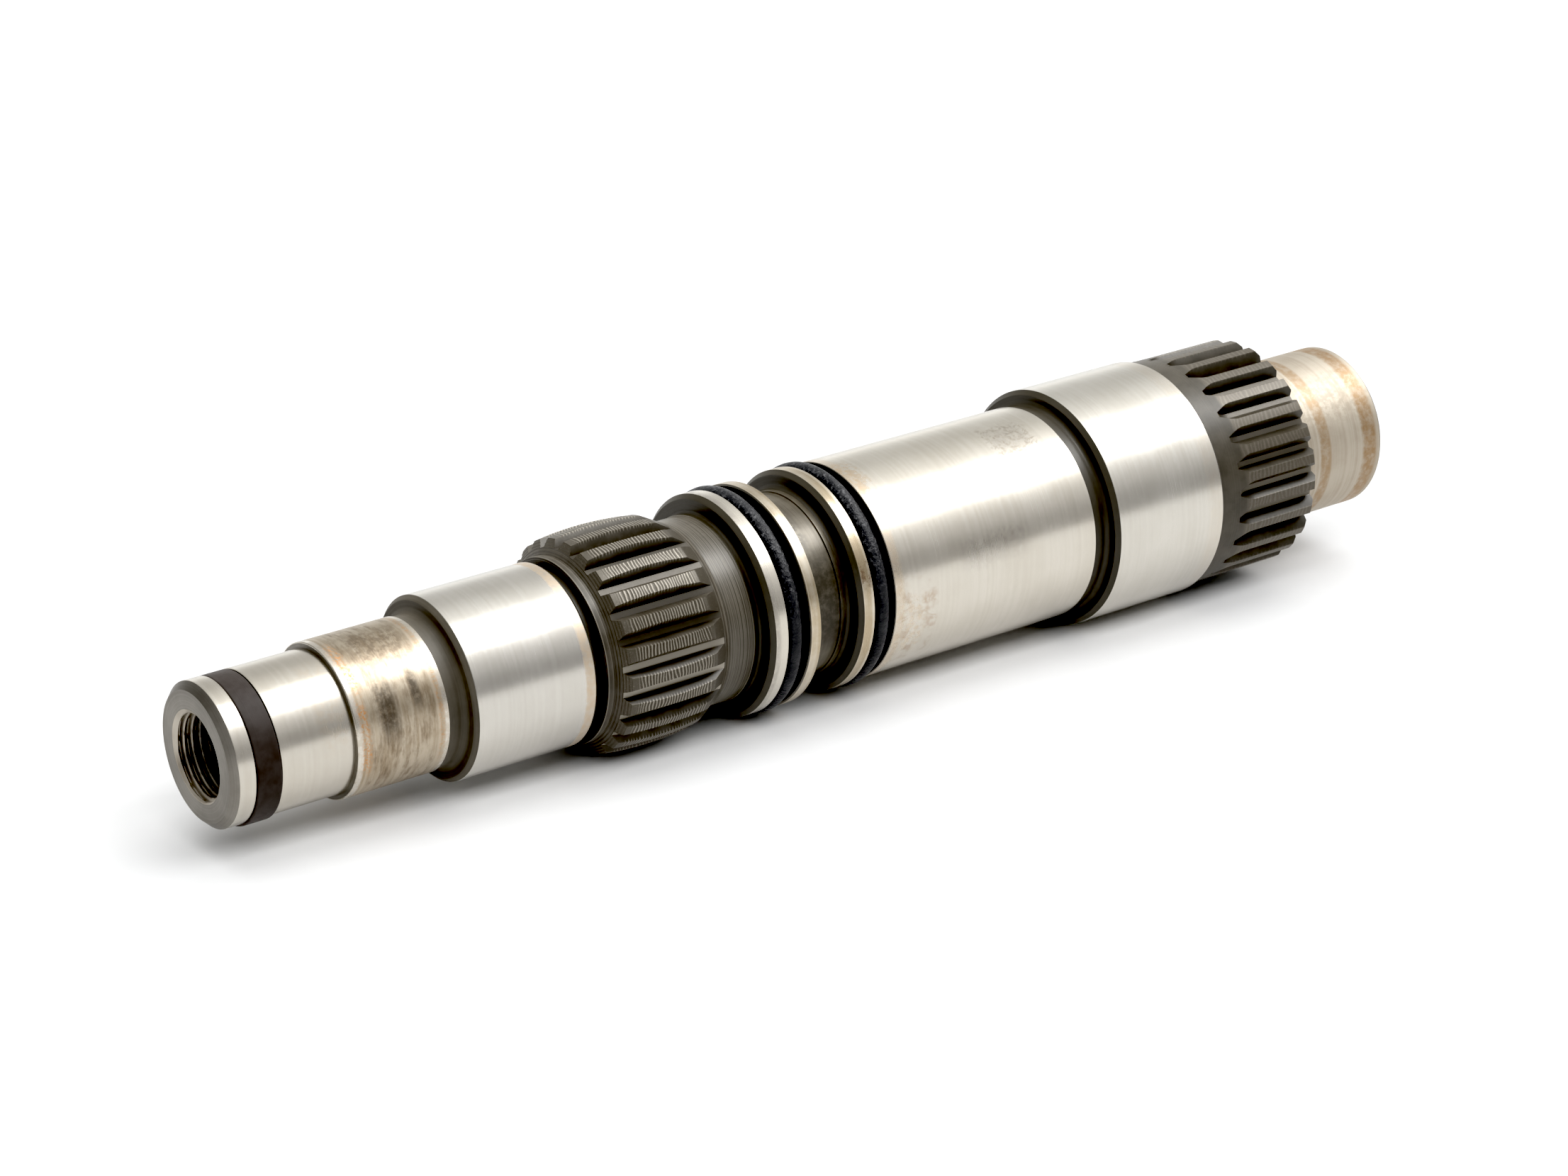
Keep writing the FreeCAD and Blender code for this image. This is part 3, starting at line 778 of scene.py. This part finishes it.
frontSteel = makeSplineSteel("frontSplineSteel", {
    "light": rgb(0.092, 0.082, 0.066), "dark": rgb(0.066, 0.058, 0.045), "rough": 0.42, "ior": 1.5,
    "tip": rgb(0.105, 0.094, 0.076), "tipShare": 0.9, "tipFrom": 70.0, "lines": 3.4,
    "floor": rgb(0.080, 0.072, 0.059), "paintedFloorReflection": rgb(0.37, 0.34, 0.29), "floorShare": 0.9,
    "metal": 0.1, "tipMetal": 0.4, "floorMetal": 0.42,
    "crest": rgb(0.36, 0.33, 0.28), "crestShare": 0.8, "valleyShare": 0.85, "ridgeShare": 0.4})


def frontSkin(spline):
    # (x, r) along the blank, with a point where it crosses the floor of the spaces
    (coneX, coneR), (tipX, tipR) = spline["coneStart"], spline["coneEnd"]
    rise = Vector((tipX - coneX, tipR - coneR))
    out = Vector((-rise.y, rise.x)).normalized()
    skin = list(spline["collar"])
    coneSteps = spline["terraces"] * 4
    for k in range(coneSteps + 1):
        share = k / coneSteps
        wave = math.sin(share * spline["terraces"] * 2 * math.pi) if 0 < share < 1 else 0.0
        lift = spline["terraceLift"] * wave
        skin.append((coneX + rise.x * share + out.x * lift, coneR + rise.y * share + out.y * lift))
    tipSteps = round(spline["tipLength"] / spline["rowStep"])
    for k in range(1, tipSteps + 1):
        share = k / tipSteps
        crown = spline["crowning"] * (1 - (2 * share - 1) ** 2)
        skin.append((tipX + spline["tipLength"] * share, tipR + crown))
    for share in spline["farShares"]:
        skin.append((spline["farStart"] + spline["farLength"] * share, tipR - spline["farFall"] * share))
    made, rootR = [], spline["rootR"]
    for x, r in skin:
        if made and (made[-1][1] - rootR) * (r - rootR) < 0:
            share = (rootR - made[-1][1]) / (r - made[-1][1])
            made.append((made[-1][0] + (x - made[-1][0]) * share, rootR))
        made.append((x, r))
    return made


def makeFrontSpline(spline):
    rows = closedRows([stripRow(spline, x, r) for x, r in frontSkin(spline)])
    plains = [max(r for _, r, _, _ in row) <= spline["rootR"] + spline["plainGap"] for row in rows]
    makeSpline("front_spline", spline, rows, plains, frontSteel)


makeFrontSpline(frontSpline)

# rear spline: collar with a small bead, curved run-outs, tips, chamfer
rearSpline = {
    "teeth": 26, "module": 1.5875, "share": 0.43, "rootR": 19.5475, "firstTooth": 1.9 + 180 / 26,
    "flankSteps": 4, "landSteps": 5, "tipSteps": 60, "runOutSteps": 14, "plainGap": 0.01,
    "tipR": 21.6475, "cutStart": 206.8, "runOutR": 5.0, "firstLift": 0.03, "tipEnd": 225.55,
    "collar": ((202.5, 0), (202.6, 0), (204.5, 0), (206.2, 0), (206.45, 0), (206.6, 0.035), (206.72, 0.045)),
    "chamfer": 0.95, "chamferShares": (0.06, 0.5, 0.94, 1.0),
    "ripples": {"Ripple Pitch": 0.9, "Ripple Depth": 0.008, "Ripple Start": 207.5, "Ripple End": 225.4,
                "Seed": 5.0},
}
rearSteel = makeSplineSteel("rearSplineSteel", {
    "light": rgb(0.080, 0.071, 0.056), "dark": rgb(0.062, 0.055, 0.043), "rough": 0.40, "ior": 1.45,
    "tip": rgb(0.120, 0.106, 0.086), "tipShare": 0.9, "tipFrom": 208.6, "lines": 3.0,
    "floor": rgb(0.165, 0.147, 0.118), "paintedFloorReflection": rgb(0.19, 0.17, 0.137), "floorShare": 0.85,
    "metal": 0.05, "tipMetal": 0.3, "floorMetal": 0.15,
    "crest": rgb(0.26, 0.235, 0.195), "crestShare": 0.22, "valleyShare": 0.2, "ridgeShare": 0.05})


def makeRearSpline(spline):
    tipR, rootR, runOut = spline["tipR"], spline["rootR"], spline["runOutR"]
    depth = tipR - rootR
    lastTurn = math.acos(1 - depth / runOut)
    fullX = spline["cutStart"] + runOut * math.sin(lastTurn)
    rows = [stripRow(spline, x, tipR, floorR=tipR, lift=lift, cutDepth=0.0) for x, lift in spline["collar"]]
    for k in range(spline["runOutSteps"] + 1):
        turn = lastTurn * (1 - k / spline["runOutSteps"])
        rows.append(stripRow(
            spline, fullX - (runOut - depth) * math.tan(turn), tipR,
            floorX=fullX - runOut * math.sin(turn), floorR=rootR + runOut * (1 - math.cos(turn)),
            lift=spline["firstLift"] if k == 0 else 0.0,
            cutDepth=runOut - (runOut - depth) / math.cos(turn)))
    for k in range(1, spline["tipSteps"] + 1):
        rows.append(stripRow(spline, fullX + (spline["tipEnd"] - fullX) * k / spline["tipSteps"], tipR))
    for share in spline["chamferShares"]:
        cut = spline["chamfer"] * share
        rows.append(stripRow(spline, spline["tipEnd"] + cut, tipR - cut))
    rows = closedRows(rows)
    plains = [row[0][0] < spline["cutStart"] - spline["plainGap"] for row in rows]
    makeSpline("rear_spline", spline, rows, plains, rearSteel)


makeRearSpline(rearSpline)


# rings

rubberLook = {
    "dark": rgb(0.014, 0.014, 0.016), "light": rgb(0.030, 0.030, 0.032), "tone": (0.35, 0.7),
    "sheenGrey": rgb(0.16, 0.16, 0.165), "rubberGrain": (1.7, 4.0, 0.7), "patches": (0.35, 3.0, 0.6),
    "paintedSheen": (0.52, 0.66, 0.0, 0.6), "sheenTurn": 25.0, "sheenFade": (25.0, 70.0, 1.0, 0.15),
    "rough": (0.3, 0.7, 0.28, 0.52), "patchDepth": 2.0, "bumpReach": 0.0002,
}
hardLook = {
    "dark": rgb(0.052, 0.045, 0.041), "light": rgb(0.063, 0.055, 0.051), "tone": (0.35, 0.65),
    "grain": (2.4, 4.0, 0.65), "patches": (0.3, 3.0, 0.6), "lines": 4.0, "rough": 0.42, "roughGrain": 0.2,
    "gloss": 0.17, "bumpReach": 0.00001,
}


def makeRubber(look):
    material, tree, shader, place = startMaterial("sealRubber")
    rubberGrain = noise(tree, place["Point"], *look["rubberGrain"])
    patches = noise(tree, place["Point"], *look["patches"])
    colour = blendColour(tree, mapRange(tree, patches, *look["tone"]), look["dark"], look["light"])
    # painted highlight: grey specks on the upper side stand in for the speckled sheen on the crown, and fade
    # down its sides
    side = maths(tree, "ABSOLUTE", maths(tree, "SUBTRACT", place["Turn"], look["sheenTurn"]))
    paintedSheen = times(tree, mapRange(tree, rubberGrain, *look["paintedSheen"]), mapRange(tree, side, *look["sheenFade"]))
    colour = blendColour(tree, paintedSheen, colour, look["sheenGrey"])
    height = plus(tree, rubberGrain, times(tree, patches, look["patchDepth"]))
    finishShader(tree, shader, height, look["bumpReach"],
                 {"Base Color": colour, "Roughness": mapRange(tree, rubberGrain, *look["rough"])})
    return material


def makeHardRing(look):
    material, tree, shader, place = startMaterial("hardRing")
    grain = noise(tree, place["Point"], *look["grain"])
    patches = noise(tree, place["Point"], *look["patches"])
    colour = blendColour(tree, mapRange(tree, patches, *look["tone"]), look["dark"], look["light"])
    rough = plus(tree, look["rough"], times(tree, grain, look["roughGrain"]))
    shader.inputs["Specular IOR Level"].default_value = look["gloss"]
    finishShader(tree, shader, plus(tree, grain, ringLines(tree, place, look["lines"])), look["bumpReach"],
                 {"Base Color": colour, "Roughness": rough})
    return material


rubberFinish = {"rubber": makeRubber(rubberLook)}
ringFinish = {"ring": makeHardRing(hardLook)}
rubberRing = {"crownR": 20.65, "footR": 17.15, "footBevel": 0.15, "width": 3.1, "crownHeight": 1.3,
              "steps": 12, "segments": 288,
              "middles": {"front_rubber_ring": 105.65, "rear_rubber_ring": 124.5}}


def rubberRings(middle):
    # a flat foot with bevels under a round crown
    half, steps = rubberRing["width"] / 2, rubberRing["steps"]
    footR, bevel = rubberRing["footR"], rubberRing["footBevel"]
    lean = math.atan(rubberRing["crownHeight"] / half)
    roundR = half / math.sin(2 * lean)
    centreR = rubberRing["crownR"] - roundR
    outline = [(middle - half + bevel, footR), (middle - half, footR + bevel)]
    for k in range(steps + 1):
        angle = 2 * lean * (2 * k / steps - 1)
        outline.append((middle + roundR * math.sin(angle), centreR + roundR * math.cos(angle)))
    outline += [(middle + half, footR + bevel), (middle + half - bevel, footR)]
    return [(x, r, "rubber") for x, r in outline]


for ringName, middle in rubberRing["middles"].items():
    makeTurned("smooth_" + ringName, rubberRing, rubberFinish, ringName, closedRing=True,
               rings=rubberRings(middle))

# the nose ring hangs on the floor of its groove
noseRing = {"segments": 224, "drop": 0.25, "outline": [
    (4.30, 11.5, 0, "ring"), (4.30, 12.70, 0.3, "ring"), (8.90, 12.70, 0.3, "ring"),
    (8.90, 10.35, 0.2, "ring"), (4.30, 10.35, 0.2, "ring"), (4.30, 11.49, 0, "ring")]}
makeTurned("smooth_nose_seal_ring", noseRing, ringFinish, "nose_seal_ring", closedRing=True)
print("rings made")


# floor, light and camera

floorLook = {
    "rings": (0.2, 0.5, 1.0, 2.0, 4.0), "segments": 96, "fibres": (90.0, 3.0, 0.6), "gloss": 0.2,
    "near": (rgb(0.71, 0.71, 0.71), rgb(0.74, 0.74, 0.74)), "rough": (0.2, 0.8, 0.75, 0.9),
    "far": rgb(0.92, 0.92, 0.92), "farFade": (0.4, 1.2),
}
studio = {
    # turn above the camera side in degrees, distance, place along the bar, width, length, power;
    # a lamp for gloss shows only as a reflection, and the others never do
    "softbox": {"turn": 74.0, "away": 0.9, "ahead": 0.62, "width": 0.42, "length": 1.0, "power": 11.5},
    "skyPanel": {"turn": 95.0, "away": 1.8, "ahead": 0.15, "width": 1.5, "length": 2.2, "power": 15.0},
    "frontFill": {"turn": 50.0, "away": 1.7, "ahead": -0.3, "width": 0.7, "length": 4.0, "power": 38.0},
    "topPanel": {"turn": 97.0, "away": 1.5, "ahead": 0.1, "width": 0.9, "length": 1.6, "power": 22.0},
    "forGloss": ("softbox",), "lampTint": (0.99, 0.995, 1.0), "backdrop": 1.15, "blackLevel": 0.055,
    "nearTint": rgb(0.99, 0.995, 1.0), "farTint": rgb(0.995, 1.0, 0.985), "tintTurns": (60.0, 130.0),
    # brightness of the room by its angle round the bar: 0 camera side, 90 above, 180 far side
    "room": ((-90, 0.7), (-8, 0.55), (0, 0.48), (13, 0.5), (27, 0.74), (40, 0.97), (52, 1.27), (98, 1.36),
             (112, 1.16), (124, 0.95), (136, 0.8), (150, 0.8), (162, 0.94), (172, 1.22), (182, 1.5),
             (200, 1.5), (269, 0.75)),
    # brightness by how far a direction points along the bar, -1 to 1
    "along": ((-1.0, 0.5), (-0.3, 0.55), (0.15, 0.75), (0.35, 1.0), (0.72, 1.0), (0.88, 0.55), (1.0, 0.35)),
    "curveShare": 0.5,  # a curve ends at 1, so it holds this share of each brightness
}
photoView = {"lens": 89.733, "sensor": 36.0, "clip": (0.01, 20.0),
             "seat": (-0.387515, -0.522436, 0.274910), "turn": (68.484, 0.0, -36.06)}


def makeFloor():
    segments = floorLook["segments"]
    points = [(0.0, 0.0, 0.0)]
    faces = []
    for i, r in enumerate(floorLook["rings"]):
        here = 1 + i * segments
        for k in range(segments):
            turn = 2 * math.pi * k / segments
            points.append((r * math.cos(turn), r * math.sin(turn), 0.0))
            n = (k + 1) % segments
            if i == 0:
                faces.append((0, here + k, here + n))
            else:
                faces.append((here - segments + k, here + k, here + n, here - segments + n))
    mesh = bpy.data.meshes.new("paleFloor")
    mesh.from_pydata(points, [], faces)
    floor = bpy.data.objects.new("pale_floor", mesh)
    bpy.context.scene.collection.objects.link(floor)
    material = bpy.data.materials.new("palePaper")
    material.use_nodes = True
    tree = material.node_tree
    shader = tree.nodes["Principled BSDF"]
    place = node(tree, "ShaderNodeTexCoord").outputs["Object"]
    fibres = noise(tree, place, *floorLook["fibres"])
    colour = blendColour(tree, fibres, *floorLook["near"])
    # the far floor, which the lamps hardly reach, is paler
    away = node(tree, "ShaderNodeVectorMath", {0: place}, operation="LENGTH").outputs["Value"]
    colour = blendColour(tree, mapRange(tree, away, *floorLook["farFade"]), colour, floorLook["far"])
    setInputs(tree, shader, {"Base Color": colour, "Roughness": mapRange(tree, fibres, *floorLook["rough"]),
                             "Specular IOR Level": floorLook["gloss"]})
    mesh.materials.append(material)
    return floor


def levelCurve(tree, value, low, high, spots):
    # a brightness that a curve gives over a range
    made = node(tree, "ShaderNodeFloatCurve", {"Value": mapRange(tree, value, low, high, kind="LINEAR")})
    curve = made.mapping.curves[0]
    while len(curve.points) < len(spots):
        curve.points.new(0.5, 0.5)
    for point, (at, level) in zip(curve.points, spots):
        point.location = ((at - low) / (high - low), level * studio["curveShare"])
    made.mapping.update()
    return made.outputs[0]


def makeRoom():
    world = bpy.data.worlds.new("studioRoom")
    world.use_nodes = True
    tree = world.node_tree
    tree.nodes.clear()
    way = node(tree, "ShaderNodeTexCoord").outputs["Generated"]
    parts = node(tree, "ShaderNodeSeparateXYZ", {0: way}).outputs
    angle = maths(tree, "DEGREES", maths(tree, "ARCTAN2", parts[2], times(tree, parts[1], -1.0)))
    # the far side below the horizon counts on past 180
    lowest, highest = -90.0, 270.0
    angle = maths(tree, "WRAP", angle, highest, lowest)
    about = levelCurve(tree, angle, lowest, highest, studio["room"])
    ahead = levelCurve(tree, parts[0], -1.0, 1.0, studio["along"])
    level = times(tree, about, ahead, 1 / studio["curveShare"] ** 2)
    tinted = blendColour(tree, mapRange(tree, angle, *studio["tintTurns"]),
                         studio["nearTint"], studio["farTint"])
    room = node(tree, "ShaderNodeBackground", {"Color": tinted, "Strength": level}).outputs[0]
    white = node(tree, "ShaderNodeBackground", {
        "Color": rgb(1, 1, 1), "Strength": studio["backdrop"]}).outputs[0]
    seen = node(tree, "ShaderNodeLightPath").outputs["Is Camera Ray"]
    mixed = node(tree, "ShaderNodeMixShader", {0: seen, 1: room, 2: white}).outputs[0]
    node(tree, "ShaderNodeOutputWorld", {0: mixed})
    bpy.context.scene.world = world


def makeLight(name, only=None):
    # a panel that faces the bar; where objects are given, it lights only these
    lamp = studio[name]
    light = bpy.data.lights.new(name, "AREA")
    light.shape = "RECTANGLE"
    light.size, light.size_y = lamp["length"], lamp["width"]
    light.energy, light.color = lamp["power"], studio["lampTint"]
    panel = bpy.data.objects.new(name, light)
    lean = math.radians(lamp["turn"])
    panel.location = (lamp["ahead"], -lamp["away"] * math.cos(lean), lamp["away"] * math.sin(lean))
    panel.rotation_euler = (math.radians(90 - lamp["turn"]), 0.0, 0.0)
    panel.visible_glossy = name in studio["forGloss"]
    panel.visible_diffuse = not panel.visible_glossy
    bpy.context.scene.collection.objects.link(panel)
    if only:
        lit = bpy.data.collections.new(name + "Lit")
        for thing in only:
            lit.objects.link(thing)
        panel.light_linking.receiver_collection = lit


def makeCamera():
    camera = bpy.data.cameras.new("photoCamera")
    camera.lens, camera.sensor_width = photoView["lens"], photoView["sensor"]
    camera.sensor_fit = "HORIZONTAL"
    camera.clip_start, camera.clip_end = photoView["clip"]
    seat = bpy.data.objects.new("photoCamera", camera)
    seat.location = photoView["seat"]
    seat.rotation_euler = [math.radians(turn) for turn in photoView["turn"]]
    bpy.context.scene.collection.objects.link(seat)
    bpy.context.scene.camera = seat


paleFloor = makeFloor()
makeRoom()
makeLight("softbox")
makeLight("skyPanel")
# one light lifts only the floor, so the shadow before the bar stays short and pale, and one only the bar
makeLight("frontFill", only=[paleFloor])
makeLight("topPanel", only=madePieces)
makeCamera()
grade = bpy.context.scene.view_settings
grade.view_transform = "Standard"
grade.use_curve_mapping = True
grade.curve_mapping.black_level = (studio["blackLevel"],) * 3
grade.curve_mapping.update()
print("floor, light and camera made")
